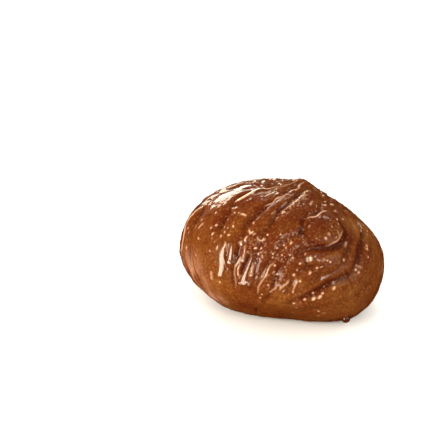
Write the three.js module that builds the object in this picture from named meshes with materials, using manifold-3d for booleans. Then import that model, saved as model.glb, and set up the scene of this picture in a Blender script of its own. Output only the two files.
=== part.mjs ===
// Candied chestnut: one whole peeled nut, simmered in syrup until it is glazed all over.
// It is one solid piece. It lies on its flatter underside, wide side to the front, with
// its tip at the upper back and its base low at the front left.
//
// Frame: millimetres, +Z up, the front towards -Y, the right towards +X. The origin is
// on the resting surface, under the middle of the nut.

import * as THREE from 'three';
import { mergeVertices } from 'three/addons/utils/BufferGeometryUtils.js';
import Module from 'manifold-3d';

// ---- Driving dimensions, in millimetres and degrees ----

// Half sizes of the round body, from its middle to each side.
const HALF = { right: 20.5, left: 21.0, back: 16.6, front: 16.3, top: 15.0, under: 15.9 };

// The middle of the body stands this high over the surface it rests on.
const MIDDLE_HEIGHT = 10.1;

// The cut that gives the nut its flat resting spot.
const FOOT_CUT = 0.1;

// A nut grows pressed against its neighbours, which leaves flatter sides. Each one faces
// a direction and lies at a distance from the middle.
const FLATTER_SIDES = [
  { name: 'foot', azimuth: 0, elevation: -90, distance: MIDDLE_HEIGHT },
  { name: 'back shoulder', azimuth: 51, elevation: 43, distance: 16.1 },
  { name: 'left underside', azimuth: 219, elevation: -47, distance: 16.3 },
  { name: 'front underside', azimuth: 277, elevation: -38, distance: 13.1 },
  { name: 'back underside', azimuth: 95, elevation: -36, distance: 14.2 },
];
// How crisply the flatter sides meet the round body; a higher value is crisper.
const CRISPNESS = 10;

// Swellings (height above 0) and shallow hollows (below 0): direction, reach and height.
const SWELLINGS = [
  { name: 'tip', azimuth: 82, elevation: 52, reach: 9, height: 0.7 },
  { name: 'hollow left of the tip', azimuth: 125, elevation: 66, reach: 18, height: -0.8 },
  { name: 'hollow right of the tip', azimuth: 32, elevation: 50, reach: 12, height: -0.7 },
  { name: 'lower left', azimuth: 228, elevation: -15, reach: 16, height: -0.25 },
  { name: 'right end', azimuth: 0, elevation: 2, reach: 14, height: -0.35 },
  { name: 'lower front', azimuth: 300, elevation: -32, reach: 14, height: -0.25 },
];

// The furrows run from the tip to the base as meridians do on a globe. Colatitude is
// the angle from the tip's axis, and longitude 0 is the meridian that faces the front.
const TIP_AXIS = { azimuth: 60, elevation: 50 };
// Every furrow's longitude is given where it crosses these rings of colatitude.
const RINGS = [25, 45, 65, 75, 90, 110, 140];
const FURROWS = [
  { at: [-71, -62, -74, -77, -73, -66, -50], from: 4, to: 108, halfWidth: 7.0, depth: 0.65 },
  { at: [-56, -53, -59, -57, -51, -44, -34], from: 4, to: 126, halfWidth: 6.5, depth: 0.8 },
  { at: [-48, -44, -47, -45, -39, -33, -26], from: 82, to: 122, halfWidth: 4.5, depth: 0.5 },
  { at: [-40, -35, -36, -35, -31, -28, -16], from: 4, to: 128, halfWidth: 6.0, depth: 0.75 },
  { at: [-20, -17, -21, -22, -22, -19, -8], from: 6, to: 126, halfWidth: 6.5, depth: 0.85 },
  { at: [8, 11, 5, 0, -6, -7, 5], from: 24, to: 158, halfWidth: 7.5, depth: 1.1 },
  { at: [20, 34, 33, 16, 6, 6, 11], from: 10, to: 132, halfWidth: 6.5, depth: 0.95 },
  { at: [32, 39, 37, 28, 17, 16, 18], from: 76, to: 122, halfWidth: 5.0, depth: 0.6 },
  { at: [46, 44, 41, 38, 29, 22, 24], from: 12, to: 112, halfWidth: 5.5, depth: 0.6 },
  { at: [60, 57, 49, 47, 40, 28, 30], from: 30, to: 124, halfWidth: 7.5, depth: 1.0 },
  { at: [72, 69, 66, 64, 56, 43, 38], from: 36, to: 126, halfWidth: 6.0, depth: 0.5 },
];
// Round the back and the underside the furrows keep the same spacing, and their other
// sizes vary within these ranges.
const BACK_FURROWS = {
  count: 14,
  firstLongitude: 82,
  lastLongitude: 276,
  wander: 2.5,
  from: [4, 14],
  to: [118, 138],
  halfWidth: [5.5, 7.5],
  depth: [0.6, 1.0],
  seed: 7,
};
// Past the start ring those furrows bend towards the meridian of the base.
const BASE_MERIDIAN = 10;
const BEND_TO_BASE = { start: 75, most: 20 };
// Where furrows meet, the deeper one rules; a higher value makes that crisper.
const FURROW_BLEND = 3;
// A furrow starts and ends over this stretch, and wavers a little on its way.
const FURROW_END = 14;
const WAVER = { swing: 0.9, length: 26 };
// Nearer the tip than this colatitude the furrows crowd together and get shallower.
const CROWDING = 40;
// The underside, within these angles from straight down, settles smooth.
const SMOOTH_UNDERSIDE = { full: 38, none: 58 };

// The low round knob near the top right, with the moat round it.
const KNOB = { colatitude: 56, longitude: 19, length: 15.5, width: 13, height: 0.5 };
const MOAT = { depth: 0.35, width: 0.22 };

// The drop of set syrup on the lower right edge.
const DROP = { azimuth: -21, elevation: -24, radius: 0.75, proud: 0.6 };

// The surface is a net of lines from tip to base: one along each furrow and more
// between, at most this far apart in longitude, crossed by this many rings.
const LINE_SPACING = 4;
const NET_RINGS = 42;
const DROP_FINENESS = 2;

// ---- Helpers ----

const radians = THREE.MathUtils.degToRad;
const degrees = THREE.MathUtils.radToDeg;
const smoothstep = THREE.MathUtils.smoothstep;

function direction({ azimuth, elevation }) {
  const level = Math.cos(radians(elevation));
  return new THREE.Vector3(
    Math.cos(radians(azimuth)) * level,
    Math.sin(radians(azimuth)) * level,
    Math.sin(radians(elevation)),
  );
}

// A repeatable source of numbers from 0 to 1.
function seededRandom(seed) {
  let state = seed;
  return () => {
    state = (state * 16807) % 2147483647;
    return (state - 1) / 2147483646;
  };
}

const wasm = await Module();
wasm.setup();

function closedSolid(geometry) {
  const plain = geometry.clone();
  plain.deleteAttribute('normal');
  plain.deleteAttribute('uv');
  const merged = mergeVertices(plain);
  return new wasm.Manifold(new wasm.Mesh({
    numProp: 3,
    vertProperties: new Float32Array(merged.attributes.position.array),
    triVerts: new Uint32Array(merged.index.array),
  }));
}

function geometryOf(solid) {
  const { vertProperties, triVerts } = solid.getMesh();
  const geometry = new THREE.BufferGeometry();
  geometry.setAttribute('position', new THREE.BufferAttribute(vertProperties, 3));
  geometry.setIndex(new THREE.BufferAttribute(triVerts, 1));
  return geometry;
}

// ---- The round body with its flatter sides and swellings ----

const sides = FLATTER_SIDES.map((side) => ({ ...side, facing: direction(side) }));
const swellings = SWELLINGS.map((swelling) => ({ ...swelling, centre: direction(swelling) }));

// Distance from the middle to the smooth body's surface along a direction.
function bodyRadius(d) {
  const x = d.x / (d.x > 0 ? HALF.right : HALF.left);
  const y = d.y / (d.y > 0 ? HALF.back : HALF.front);
  const z = d.z / (d.z > 0 ? HALF.top : HALF.under);
  let sum = Math.hypot(x, y, z) ** CRISPNESS;
  for (const { facing, distance } of sides) {
    sum += Math.max(0, d.dot(facing) / distance) ** CRISPNESS;
  }
  return sum ** (-1 / CRISPNESS);
}

function swellingHeight(d) {
  let height = 0;
  for (const { centre, reach, height: top } of swellings) {
    const away = degrees(d.angleTo(centre)) / reach;
    height += top * Math.exp(-(away ** 2));
  }
  return height;
}

// ---- Furrows ----

const tipAxis = direction(TIP_AXIS);
const FRONT = new THREE.Vector3(0, -1, 0);
const DOWN = new THREE.Vector3(0, 0, -1);
const zeroMeridian = FRONT.clone().addScaledVector(tipAxis, -FRONT.dot(tipAxis)).normalize();
const quarterMeridian = new THREE.Vector3().crossVectors(tipAxis, zeroMeridian);

function polar(d) {
  return {
    colatitude: degrees(d.angleTo(tipAxis)),
    longitude: degrees(Math.atan2(d.dot(quarterMeridian), d.dot(zeroMeridian))),
  };
}

function backFurrows() {
  const { count, firstLongitude, lastLongitude, wander, seed } = BACK_FURROWS;
  const random = seededRandom(seed);
  const within = ([low, high]) => THREE.MathUtils.lerp(low, high, random());
  return Array.from({ length: count }, (_, i) => {
    const start = THREE.MathUtils.lerp(firstLongitude, lastLongitude, i / (count - 1));
    const bend = -BEND_TO_BASE.most * Math.sin(radians(start - BASE_MERIDIAN));
    const at = RINGS.map((ring) => {
      const past = Math.max(0, ring - BEND_TO_BASE.start) / (RINGS.at(-1) - BEND_TO_BASE.start);
      return start + bend * past + within([-wander, wander]);
    });
    return {
      at,
      from: within(BACK_FURROWS.from),
      to: within(BACK_FURROWS.to),
      halfWidth: within(BACK_FURROWS.halfWidth),
      depth: within(BACK_FURROWS.depth),
    };
  });
}

const furrows = [...FURROWS, ...backFurrows()].map((furrow, i) => {
  const path = new THREE.CubicInterpolant(RINGS, furrow.at, 1);
  const longitudeAt = (colatitude) => {
    const ring = THREE.MathUtils.clamp(colatitude, RINGS[0], RINGS.at(-1));
    const waver = WAVER.swing * Math.sin(radians(360 * colatitude / WAVER.length) + i);
    return path.evaluate(ring)[0] + waver;
  };
  return { ...furrow, longitudeAt };
});

// Depth of one furrow at a place: a sharp crease with a rounded pillow on each side.
function furrowDepth(furrow, colatitude, longitude) {
  const { from, to, halfWidth, depth, longitudeAt } = furrow;
  const begun = smoothstep(colatitude, from, from + FURROW_END);
  const ended = smoothstep(colatitude, to - FURROW_END, to);
  if (begun * (1 - ended) === 0) return 0;
  const centre = longitudeAt(colatitude);
  const slope = longitudeAt(colatitude + 0.5) - longitudeAt(colatitude - 0.5);
  const aside = Math.abs(THREE.MathUtils.euclideanModulo(longitude - centre + 180, 360) - 180);
  const across = aside / Math.hypot(1, slope * Math.sin(radians(colatitude)));
  const crease = (1 - Math.min(1, across / halfWidth)) ** 2;
  return depth * begun * (1 - ended) * crease;
}

function furrowsDepth(d, colatitude, longitude) {
  let sum = 0;
  for (const furrow of furrows) {
    sum += furrowDepth(furrow, colatitude, longitude) ** FURROW_BLEND;
  }
  const crowded = Math.min(1, Math.sin(radians(colatitude)) / Math.sin(radians(CROWDING)));
  const { full, none } = SMOOTH_UNDERSIDE;
  const clearOfFoot = smoothstep(degrees(d.angleTo(DOWN)), full, none);
  return sum ** (1 / FURROW_BLEND) * crowded * clearOfFoot;
}

function knobHeight(colatitude, longitude) {
  const along = ((longitude - KNOB.longitude) * Math.sin(radians(KNOB.colatitude))) / KNOB.length;
  const down = (colatitude - KNOB.colatitude) / KNOB.width;
  const out = Math.hypot(along, down);
  const dome = KNOB.height * Math.max(0, 1 - out ** 2);
  return dome - MOAT.depth * Math.exp(-(((out - 1) / MOAT.width) ** 2));
}

// ---- The whole nut ----

function surfaceRadius(d) {
  const { colatitude, longitude } = polar(d);
  const relief = swellingHeight(d) + knobHeight(colatitude, longitude);
  return bodyRadius(d) + relief - furrowsDepth(d, colatitude, longitude);
}

function surfacePoint(colatitude, longitude) {
  const level = Math.sin(radians(colatitude));
  const d = tipAxis.clone().multiplyScalar(Math.cos(radians(colatitude)));
  d.addScaledVector(zeroMeridian, level * Math.cos(radians(longitude)));
  d.addScaledVector(quarterMeridian, level * Math.sin(radians(longitude)));
  return d.multiplyScalar(surfaceRadius(d));
}

// The gap from each furrow to the next one round, at a colatitude.
function gapAfter(i, colatitude) {
  const next = furrows[(i + 1) % furrows.length];
  const ahead = next.longitudeAt(colatitude) - furrows[i].longitudeAt(colatitude);
  return THREE.MathUtils.euclideanModulo(ahead, 360);
}

const stepsAfter = furrows.map((_, i) => {
  const widest = Math.max(...RINGS.map((ring) => gapAfter(i, ring)));
  return Math.ceil(widest / LINE_SPACING);
});

// The longitudes of all the net's lines at one colatitude.
function netLongitudes(colatitude) {
  return furrows.flatMap((furrow, i) => {
    const start = furrow.longitudeAt(colatitude);
    const step = gapAfter(i, colatitude) / stepsAfter[i];
    return Array.from({ length: stepsAfter[i] }, (_, j) => start + j * step);
  });
}

function nutGeometry() {
  const points = [surfacePoint(0, 0)];
  const faces = [];
  let lines = 0;
  for (let ring = 1; ring <= NET_RINGS; ring += 1) {
    const colatitude = (180 * ring) / (NET_RINGS + 1);
    const longitudes = netLongitudes(colatitude);
    lines = longitudes.length;
    points.push(...longitudes.map((longitude) => surfacePoint(colatitude, longitude)));
  }
  points.push(surfacePoint(180, 0));

  const at = (ring, line) => 1 + (ring - 1) * lines + (line % lines);
  for (let line = 0; line < lines; line += 1) {
    faces.push(0, at(1, line), at(1, line + 1));
    for (let ring = 1; ring < NET_RINGS; ring += 1) {
      const [a, b] = [at(ring, line), at(ring, line + 1)];
      const [c, d] = [at(ring + 1, line), at(ring + 1, line + 1)];
      faces.push(a, c, d, a, d, b);
    }
    faces.push(at(NET_RINGS, line), points.length - 1, at(NET_RINGS, line + 1));
  }
  const geometry = new THREE.BufferGeometry().setFromPoints(points);
  geometry.setIndex(faces);
  return geometry.translate(0, 0, MIDDLE_HEIGHT - FOOT_CUT);
}

function dropGeometry() {
  const d = direction(DROP);
  const centre = d.clone().multiplyScalar(bodyRadius(d) + DROP.proud - DROP.radius);
  const geometry = new THREE.IcosahedronGeometry(DROP.radius, DROP_FINENESS);
  return geometry.translate(centre.x, centre.y, centre.z + MIDDLE_HEIGHT - FOOT_CUT);
}

// Everything below the resting surface, which the flat foot is cut by.
function groundGeometry() {
  const side = 4 * HALF.left;
  return new THREE.BoxGeometry(side, side, side).translate(0, 0, -side / 2);
}

// Move the origin under the middle of the finished nut.
function centred(geometry) {
  geometry.computeBoundingBox();
  const middle = geometry.boundingBox.getCenter(new THREE.Vector3());
  return geometry.translate(-middle.x, -middle.y, 0);
}

const whole = closedSolid(nutGeometry())
  .add(closedSolid(dropGeometry()))
  .subtract(closedSolid(groundGeometry()));

const glazedNut = new THREE.MeshStandardMaterial({
  color: 0x8a4a20,
  roughness: 0.25,
  metalness: 0,
});
glazedNut.name = 'glazed nut';

const chestnut = new THREE.Mesh(centred(geometryOf(whole)), glazedNut);
chestnut.name = 'chestnut';

const part = new THREE.Group();
part.add(chestnut);

export default part;
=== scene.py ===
# %% [markdown]
# # A candied chestnut
#
# The object is one whole peeled chestnut, simmered in syrup until it is brown right
# through and glazed all over. It is a single piece with no moving part. What makes it
# look right is its relief: folds that run from the tip to the base, crumpled flesh
# between them, and a wet, clear glaze on top that catches the light in streaks.
#
# This lesson first loads the imported solid and prints its size. It then sets the camera
# and the light, makes a fine mesh of the nut from a few plain functions, and last gives
# that mesh its material.

# %% Load the imported solid
import bpy
import numpy as np
from mathutils import Matrix, Vector, noise


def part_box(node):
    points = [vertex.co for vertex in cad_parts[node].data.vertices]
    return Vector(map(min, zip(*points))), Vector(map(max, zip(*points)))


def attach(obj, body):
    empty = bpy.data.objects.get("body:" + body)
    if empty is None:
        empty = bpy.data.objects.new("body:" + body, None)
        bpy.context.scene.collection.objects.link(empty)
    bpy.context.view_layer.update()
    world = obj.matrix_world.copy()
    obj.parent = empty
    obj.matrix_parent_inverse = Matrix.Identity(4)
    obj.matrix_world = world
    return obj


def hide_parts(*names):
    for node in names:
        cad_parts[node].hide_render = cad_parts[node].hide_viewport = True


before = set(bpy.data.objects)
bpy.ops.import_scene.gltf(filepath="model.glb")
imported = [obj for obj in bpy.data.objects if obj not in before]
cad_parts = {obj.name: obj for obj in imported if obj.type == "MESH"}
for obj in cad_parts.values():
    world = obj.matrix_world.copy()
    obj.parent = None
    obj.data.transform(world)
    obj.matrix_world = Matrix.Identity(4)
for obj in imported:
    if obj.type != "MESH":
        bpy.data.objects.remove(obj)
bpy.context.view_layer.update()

MM = 0.001
NODE = "chestnut"
nut_low, nut_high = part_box(NODE)
print("the solid measures, in mm:", [round(side / MM, 1) for side in nut_high - nut_low])

# %% [markdown]
# ## The camera
#
# The camera looks down on the nut from the front, a little from its right. It stands
# half a metre away with a long lens, as a product photographer would, so the near and
# far sides of the nut keep their true proportions. A camera can be aimed with a
# constraint, but writing its matrix from an azimuth and an elevation keeps every value
# in plain sight. The nut isn't in the middle of the picture, so the camera aims at a
# point beside it instead of using lens shift.

# %% Camera
CAMERA_AZIMUTH, CAMERA_ELEVATION = 19.0, 32.0  # degrees
CAMERA_DISTANCE = 488 * MM
CAMERA_LENS = 200.0
CAMERA_SEES_FROM, CAMERA_SEES_TO = 0.01, 10    # metres
AIM_RIGHT, AIM_UP = -11.85 * MM, 6.45 * MM     # from the middle of the nut
NUT_MIDDLE = Vector((0.39 * MM, 0.08 * MM, 10 * MM))


def viewing_axes(azimuth, elevation):
    """The directions right, up and back towards a camera at these angles."""
    a, e = np.radians(azimuth), np.radians(elevation)
    back = Vector((np.sin(a) * np.cos(e), -np.cos(a) * np.cos(e), np.sin(e)))
    right = Vector((np.cos(a), np.sin(a), 0))
    return right, back.cross(right), back


def facing(place, right, up, back):
    """The matrix of a camera or a lamp that stands at a place and looks against back."""
    return Matrix.Translation(place) @ Matrix((right, up, back)).transposed().to_4x4()


right, up, back = viewing_axes(CAMERA_AZIMUTH, CAMERA_ELEVATION)
aim = NUT_MIDDLE + AIM_RIGHT * right + AIM_UP * up
camera_data = bpy.data.cameras.new("camera")
camera_data.lens = CAMERA_LENS
camera_data.clip_start, camera_data.clip_end = CAMERA_SEES_FROM, CAMERA_SEES_TO
camera = bpy.data.objects.new("camera", camera_data)
camera.matrix_world = facing(aim + CAMERA_DISTANCE * back, right, up, back)
bpy.context.collection.objects.link(camera)
bpy.context.scene.camera = camera
print("the camera stands at, in mm:", [round(v / MM) for v in camera.location])

# %% [markdown]
# ## Floor and light
#
# The nut lies on a plain white floor. Wet things show their shape by what they reflect,
# so the light is split in two. Bright panels stand where the glaze should mirror them.
# The two at the left draw the white streaks down the front folds, the back panel whitens
# the top edge, and the small one above it draws the lines near the tip. On the right two
# small panels make single glints, and a large weak one lifts the shade. The rest of the
# light comes evenly from all round, but neither it nor the floor is mirrored in the
# glaze. A photographer gets the same with a polarizing filter, and it keeps the brown
# deep where a mirrored white room would lay a milky veil over it.

# %% Floor
FLOOR_SIZE = 3.0
FLOOR_WHITE, FLOOR_ROUGHNESS = 0.86, 0.8


def floor_material():
    material = bpy.data.materials.new("white_floor")
    material.use_nodes = True
    shader = material.node_tree.nodes["Principled BSDF"]
    shader.inputs["Base Color"].default_value = (FLOOR_WHITE, FLOOR_WHITE, FLOOR_WHITE, 1)
    shader.inputs["Roughness"].default_value = FLOOR_ROUGHNESS
    return material


half = FLOOR_SIZE / 2
floor_mesh = bpy.data.meshes.new("floor")
floor_mesh.from_pydata([(-half, -half, 0), (half, -half, 0), (half, half, 0), (-half, half, 0)],
                       [], [(0, 1, 2, 3)])
floor_mesh.materials.append(floor_material())
floor = bpy.data.objects.new("floor", floor_mesh)
floor.visible_glossy = False
bpy.context.collection.objects.link(floor)
print("the floor is", FLOOR_SIZE, "m wide")

# %% Light panels
PANEL_DISTANCE = 0.6
# azimuth and elevation in degrees, width and height in metres, power in watts
PANELS = {
    "left_panel": (-45, 17, 0.24, 0.30, 3.5),
    "front_left_panel": (-24, 14, 0.11, 0.30, 1.6),
    "back_panel": (217, 18, 0.30, 0.22, 2.5),
    "tip_panel": (195, 50, 0.16, 0.08, 0.5),
    "right_panel": (38, 40, 0.12, 0.12, 0.75),
    "fill_panel": (75, 30, 0.40, 0.40, 0.9),
    "back_right_panel": (158, 42, 0.07, 0.07, 0.2),
}
WARM_WHITE = (1.0, 0.88, 0.70)
SURROUND_STRENGTH = 1.36


def light_panel(name, azimuth, elevation, width, height, power):
    """A soft rectangular lamp that faces the nut from an azimuth and an elevation."""
    lamp = bpy.data.lights.new(name, "AREA")
    lamp.shape = "RECTANGLE"
    lamp.size, lamp.size_y = width, height
    lamp.energy = power
    lamp.color = WARM_WHITE
    panel = bpy.data.objects.new(name, lamp)
    panel_right, panel_up, panel_back = viewing_axes(azimuth, elevation)
    stand = NUT_MIDDLE + PANEL_DISTANCE * panel_back
    panel.matrix_world = facing(stand, panel_right, panel_up, panel_back)
    panel.visible_camera = False
    bpy.context.collection.objects.link(panel)


for name, settings in PANELS.items():
    light_panel(name, *settings)

world = bpy.data.worlds.new("pale_surround")
bpy.context.scene.world = world
world.use_nodes = True
surround = world.node_tree.nodes["Background"].inputs
surround["Color"].default_value = (1, 1, 1, 1)
surround["Strength"].default_value = SURROUND_STRENGTH
world.cycles_visibility.glossy = False
bpy.context.scene.view_settings.view_transform = "Standard"
print("light panels:", ", ".join(PANELS))

# %% [markdown]
# ## The smooth body
#
# Under its folds a chestnut is a lopsided egg with a few flatter sides, where it grew
# against its neighbours. It could be sculpted by hand, but then its size would be hard
# to keep. Here every point is found by walking out from the middle of the nut along a
# direction: an egg with six different half sizes says how far, and each flatter side
# cuts in softly. Broad swellings and hollows are added as smooth bumps. All of this
# section counts in millimetres and degrees.

# %% Directions and the body
HALF = dict(right=20.5, left=21.0, back=16.6, front=16.3, top=15.0, under=15.9)
# azimuth and elevation that each flatter side faces, and its distance from the middle
FLATTER_SIDES = {
    "foot": (0, -90, 10.1),
    "back shoulder": (51, 43, 16.1),
    "left underside": (219, -47, 16.3),
    "front underside": (277, -38, 13.1),
    "back underside": (95, -36, 14.2),
}
CRISPNESS = 10


def direction(azimuth, elevation):
    a, e = np.radians(azimuth), np.radians(elevation)
    return np.array([np.cos(a) * np.cos(e), np.sin(a) * np.cos(e), np.sin(e)])


def body_radius(d):
    """How far the smooth body reaches from its middle along each direction."""
    sizes = np.where(d > 0, [HALF["right"], HALF["back"], HALF["top"]],
                     [HALF["left"], HALF["front"], HALF["under"]])
    total = np.linalg.norm(d / sizes, axis=1) ** CRISPNESS
    for azimuth, elevation, distance in FLATTER_SIDES.values():
        total += np.maximum(0, d @ direction(azimuth, elevation) / distance) ** CRISPNESS
    return total ** (-1 / CRISPNESS)


print("the body reaches back, up, front and down, in mm:",
      body_radius(np.array([[0, 1, 0], [0, 0, 1], [0, -1, 0], [0, 0, -1]])).round(1))

# %% Swellings and hollows
# azimuth, elevation, reach in degrees, height
SWELLINGS = {
    "tip": (82, 52, 9, 0.7),
    "hollow left of the tip": (125, 66, 18, -0.8),
    "hollow right of the tip": (32, 50, 12, -0.7),
    "shoulder right of the tip": (50, 50, 13, -0.55),
    "lower left": (228, -15, 16, -0.25),
    "right end": (0, 2, 14, -0.35),
    "lower front": (300, -32, 14, -0.25),
}


def angle_from(d, centre):
    return np.degrees(np.arccos(np.clip(d @ centre, -1, 1)))


def nearness(d, places):
    """1 at each place and fading to 0 over its reach; a place is azimuth, elevation, reach."""
    near = [np.exp(-(angle_from(d, direction(azimuth, elevation)) / reach) ** 2)
            for azimuth, elevation, reach in places]
    return np.max(near, axis=0)


def swelling_height(d):
    return sum(top * nearness(d, [place]) for *place, top in SWELLINGS.values())


print("swellings and hollows:", ", ".join(SWELLINGS))

# %% [markdown]
# ## An even net of points
#
# A ball made of meridians has crowded poles, and a ball of triangles has no rows to
# work with. A cube blown up to a ball has neither fault: its squares stay nearly the
# same size all over. The whole net is then pushed a little towards the upper front, so
# the squares there are finer, about a sixth of a millimetre wide, and those under the
# nut are coarser.

# %% Blow up a cube to a ball
NET_SIDE = 125
FINER_SIDE, FINER_SHARE = (-71, 48), 0.2
SAME_PLACE_DECIMALS = 6


def ball_net(side):
    """Directions of a cube's grid points pushed out to a ball, and the faces between."""
    steps = np.tan(np.linspace(-np.pi / 4, np.pi / 4, side + 1))
    across, upward = np.meshgrid(steps, steps, indexing="ij")
    ones = np.ones_like(across)
    grids = [(ones, across, upward), (-ones, upward, across), (upward, ones, across),
             (across, -ones, upward), (across, upward, ones), (upward, across, -ones)]
    points = np.concatenate([np.stack(grid, -1).reshape(-1, 3) for grid in grids])
    points /= np.linalg.norm(points, axis=1)[:, None]
    first = np.arange(6)[:, None, None] * (side + 1) ** 2
    row = np.arange(side)[None, :, None] * (side + 1)
    corner = (first + row + np.arange(side)[None, None, :]).ravel()
    faces = np.stack([corner, corner + side + 1, corner + side + 2, corner + 1], 1)
    # the cube's edges belong to two grids each, so points at one place become one
    rounded = np.round(points, SAME_PLACE_DECIMALS)
    _, keep, same = np.unique(rounded, axis=0, return_index=True, return_inverse=True)
    return points[keep], same.reshape(-1)[faces]


def pushed(d, push):
    """Directions moved by a push and brought back to length 1."""
    moved = d + push
    return moved / np.linalg.norm(moved, axis=1)[:, None]


ball, faces = ball_net(NET_SIDE)
ball = pushed(ball, FINER_SHARE * direction(*FINER_SIDE))
print(len(ball), "points,", len(faces), "squares")

# %% [markdown]
# ## Folds from tip to base
#
# On a globe the meridians run from pole to pole, and so do the furrows of a chestnut.
# Once the poles are laid through the nut's tip and base, a furrow is just a longitude
# that changes slowly with the distance from the tip. Each furrow on the side that shows
# is given by its longitude at seven rings. Round the back a loop carries on at the same
# spacing with seeded shifts, so every run gives the same nut.

# %% Polar coordinates about the tip
TIP_AXIS = direction(60, 50)
FRONT = np.array([0.0, -1.0, 0.0])
ZERO_MERIDIAN = FRONT - (FRONT @ TIP_AXIS) * TIP_AXIS
ZERO_MERIDIAN /= np.linalg.norm(ZERO_MERIDIAN)
QUARTER_MERIDIAN = np.cross(TIP_AXIS, ZERO_MERIDIAN)


def polar(d):
    """Colatitude, the angle from the tip, and longitude, 0 towards the front."""
    longitude = np.degrees(np.arctan2(d @ QUARTER_MERIDIAN, d @ ZERO_MERIDIAN))
    return angle_from(d, TIP_AXIS), longitude


def around(longitude, centre):
    """The signed way round from a centre longitude, from -180 to 180."""
    return (longitude - centre + 180) % 360 - 180


def smoothstep(value, low, high):
    t = np.clip((value - low) / (high - low), 0, 1)
    return t * t * (3 - 2 * t)


print("the front lies this far from the tip:", polar(FRONT[None])[0].round(), "degrees")

# %% Furrows
RINGS = [25, 45, 65, 75, 90, 110, 140]
# longitudes at the rings, colatitudes from and to, half width, depth
FURROWS = [
    ([-71, -62, -74, -77, -73, -66, -50], 4, 96, 7.0, 0.55),
    ([-56, -53, -59, -57, -51, -41, -32], 4, 104, 6.5, 0.80),
    ([-48, -44, -47, -45, -39, -33, -26], 82, 116, 3.5, 0.35),
    ([-40, -33, -33, -35, -31, -27, -16], 4, 128, 6.0, 0.75),
    ([-20, -19, -20, -18, -17, -18, -8], 6, 126, 6.0, 0.80),
    ([8, 11, 5, -1, -4, -4, 5], 24, 134, 6.0, 0.50),
    ([20, 34, 33, 16, 6, 6, 11], 10, 132, 5.5, 0.65),
    ([32, 39, 37, 28, 17, 16, 18], 76, 122, 5.0, 0.60),
    ([46, 44, 41, 38, 29, 22, 24], 12, 112, 5.5, 0.60),
    ([60, 57, 49, 47, 37, 28, 30], 30, 124, 6.5, 0.80),
    ([72, 69, 66, 64, 56, 43, 38], 36, 126, 6.0, 0.30),
]
BACK = dict(count=14, first=82, last=276, wander=2.5, start=(4, 14), end=(118, 138),
            half_width=(5.5, 7.5), depth=(0.6, 1.0), seed=7)
BASE_MERIDIAN = 10
BEND_START, BEND_MOST = 75, 20
MULTIPLIER, MODULUS = 16807, 2147483647


def number_source(seed):
    """A repeatable draw between two numbers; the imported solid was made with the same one."""
    state = seed

    def draw(low, high):
        nonlocal state
        state = state * MULTIPLIER % MODULUS
        return low + (high - low) * (state - 1) / (MODULUS - 1)

    return draw


draw = number_source(BACK["seed"])


def back_furrow(start):
    """A furrow on the unseen side, which bends towards the base as the others do."""
    bend = -BEND_MOST * np.sin(np.radians(start - BASE_MERIDIAN))
    past = np.maximum(0, np.array(RINGS) - BEND_START) / (RINGS[-1] - BEND_START)
    at = [start + bend * step + draw(-BACK["wander"], BACK["wander"]) for step in past]
    return (at, *[draw(*BACK[part]) for part in ("start", "end", "half_width", "depth")])


back_starts = np.linspace(BACK["first"], BACK["last"], BACK["count"])
furrows = FURROWS + [back_furrow(start) for start in back_starts]
print(len(furrows), "furrows round the nut")

# %% Depth of the furrows
WAVER, WAVER_LENGTH = 0.9, 26
FURROW_END = 14
FURROW_BLEND = 3
SYRUP_ROUNDED = 0.16
DEGREES = np.arange(0, 181)


def smooth_path(values):
    """Longitude at every whole degree of colatitude, eased through the rings."""
    rings, values = np.array(RINGS, float), np.array(values, float)
    slopes = np.gradient(values, rings)
    at = np.clip(DEGREES, rings[0], rings[-1])
    k = np.clip(np.searchsorted(rings, at, side="right") - 1, 0, len(rings) - 2)
    span = rings[k + 1] - rings[k]
    t = (at - rings[k]) / span
    return ((2 * t ** 3 - 3 * t ** 2 + 1) * values[k] + (t ** 3 - 2 * t ** 2 + t) * span * slopes[k]
            + (3 * t ** 2 - 2 * t ** 3) * values[k + 1] + (t ** 3 - t ** 2) * span * slopes[k + 1])


def crease(across, rounded):
    """A valley with a rounded pillow on each side: 1 in its line, 0 from 1 on."""
    soft = (np.sqrt(across ** 2 + rounded ** 2) - rounded) / (np.sqrt(1 + rounded ** 2) - rounded)
    return (1 - np.minimum(1, soft)) ** 2


def furrow_depth(colatitude, longitude, furrows, rounded, waver=WAVER):
    """Depth of all the furrows together; where two meet, the deeper one rules."""
    level = np.sin(np.radians(colatitude))
    total = np.zeros(len(colatitude))
    for index, (at, start, end, half_width, depth) in enumerate(furrows):
        path = smooth_path(at) + waver * np.sin(np.radians(360 * DEGREES / WAVER_LENGTH) + index)
        centre = np.interp(colatitude, DEGREES, path)
        slope = np.interp(colatitude, DEGREES, np.gradient(path))
        across = np.abs(around(longitude, centre)) / np.hypot(1, slope * level)
        ends = smoothstep(colatitude, start, start + FURROW_END)
        ends = ends * (1 - smoothstep(colatitude, end - FURROW_END, end))
        total += (depth * ends * crease(across / half_width, rounded)) ** FURROW_BLEND
    return total ** (1 / FURROW_BLEND)


print("a furrow from its line to its edge:", crease(np.linspace(0, 1, 5), SYRUP_ROUNDED).round(2))

# %% [markdown]
# ## Noise bends and fills the folds
#
# Noise is used twice on the folds. It bends the places where they run, so none looks
# drawn with a ruler, and it makes them deeper here and shallower there. Syrup has also
# run into them, so each is about a third shallower than the bare fold and its bottom is
# rounded instead of sharp.

# %% Noise on the ball
MEAN_RADIUS = 18.0
WANDER_SEED = 3  # without a seed the noise vectors would differ from run to run
noise.seed_set(WANDER_SEED)


def noise_at(places):
    return np.array([noise.noise(place) for place in places.tolist()])


def lumps(d, size, offset=0.0):
    """Smooth noise from -1 to 1 whose lumps are about this many millimetres wide."""
    return noise_at(d * (MEAN_RADIUS / size) + offset)


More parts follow.
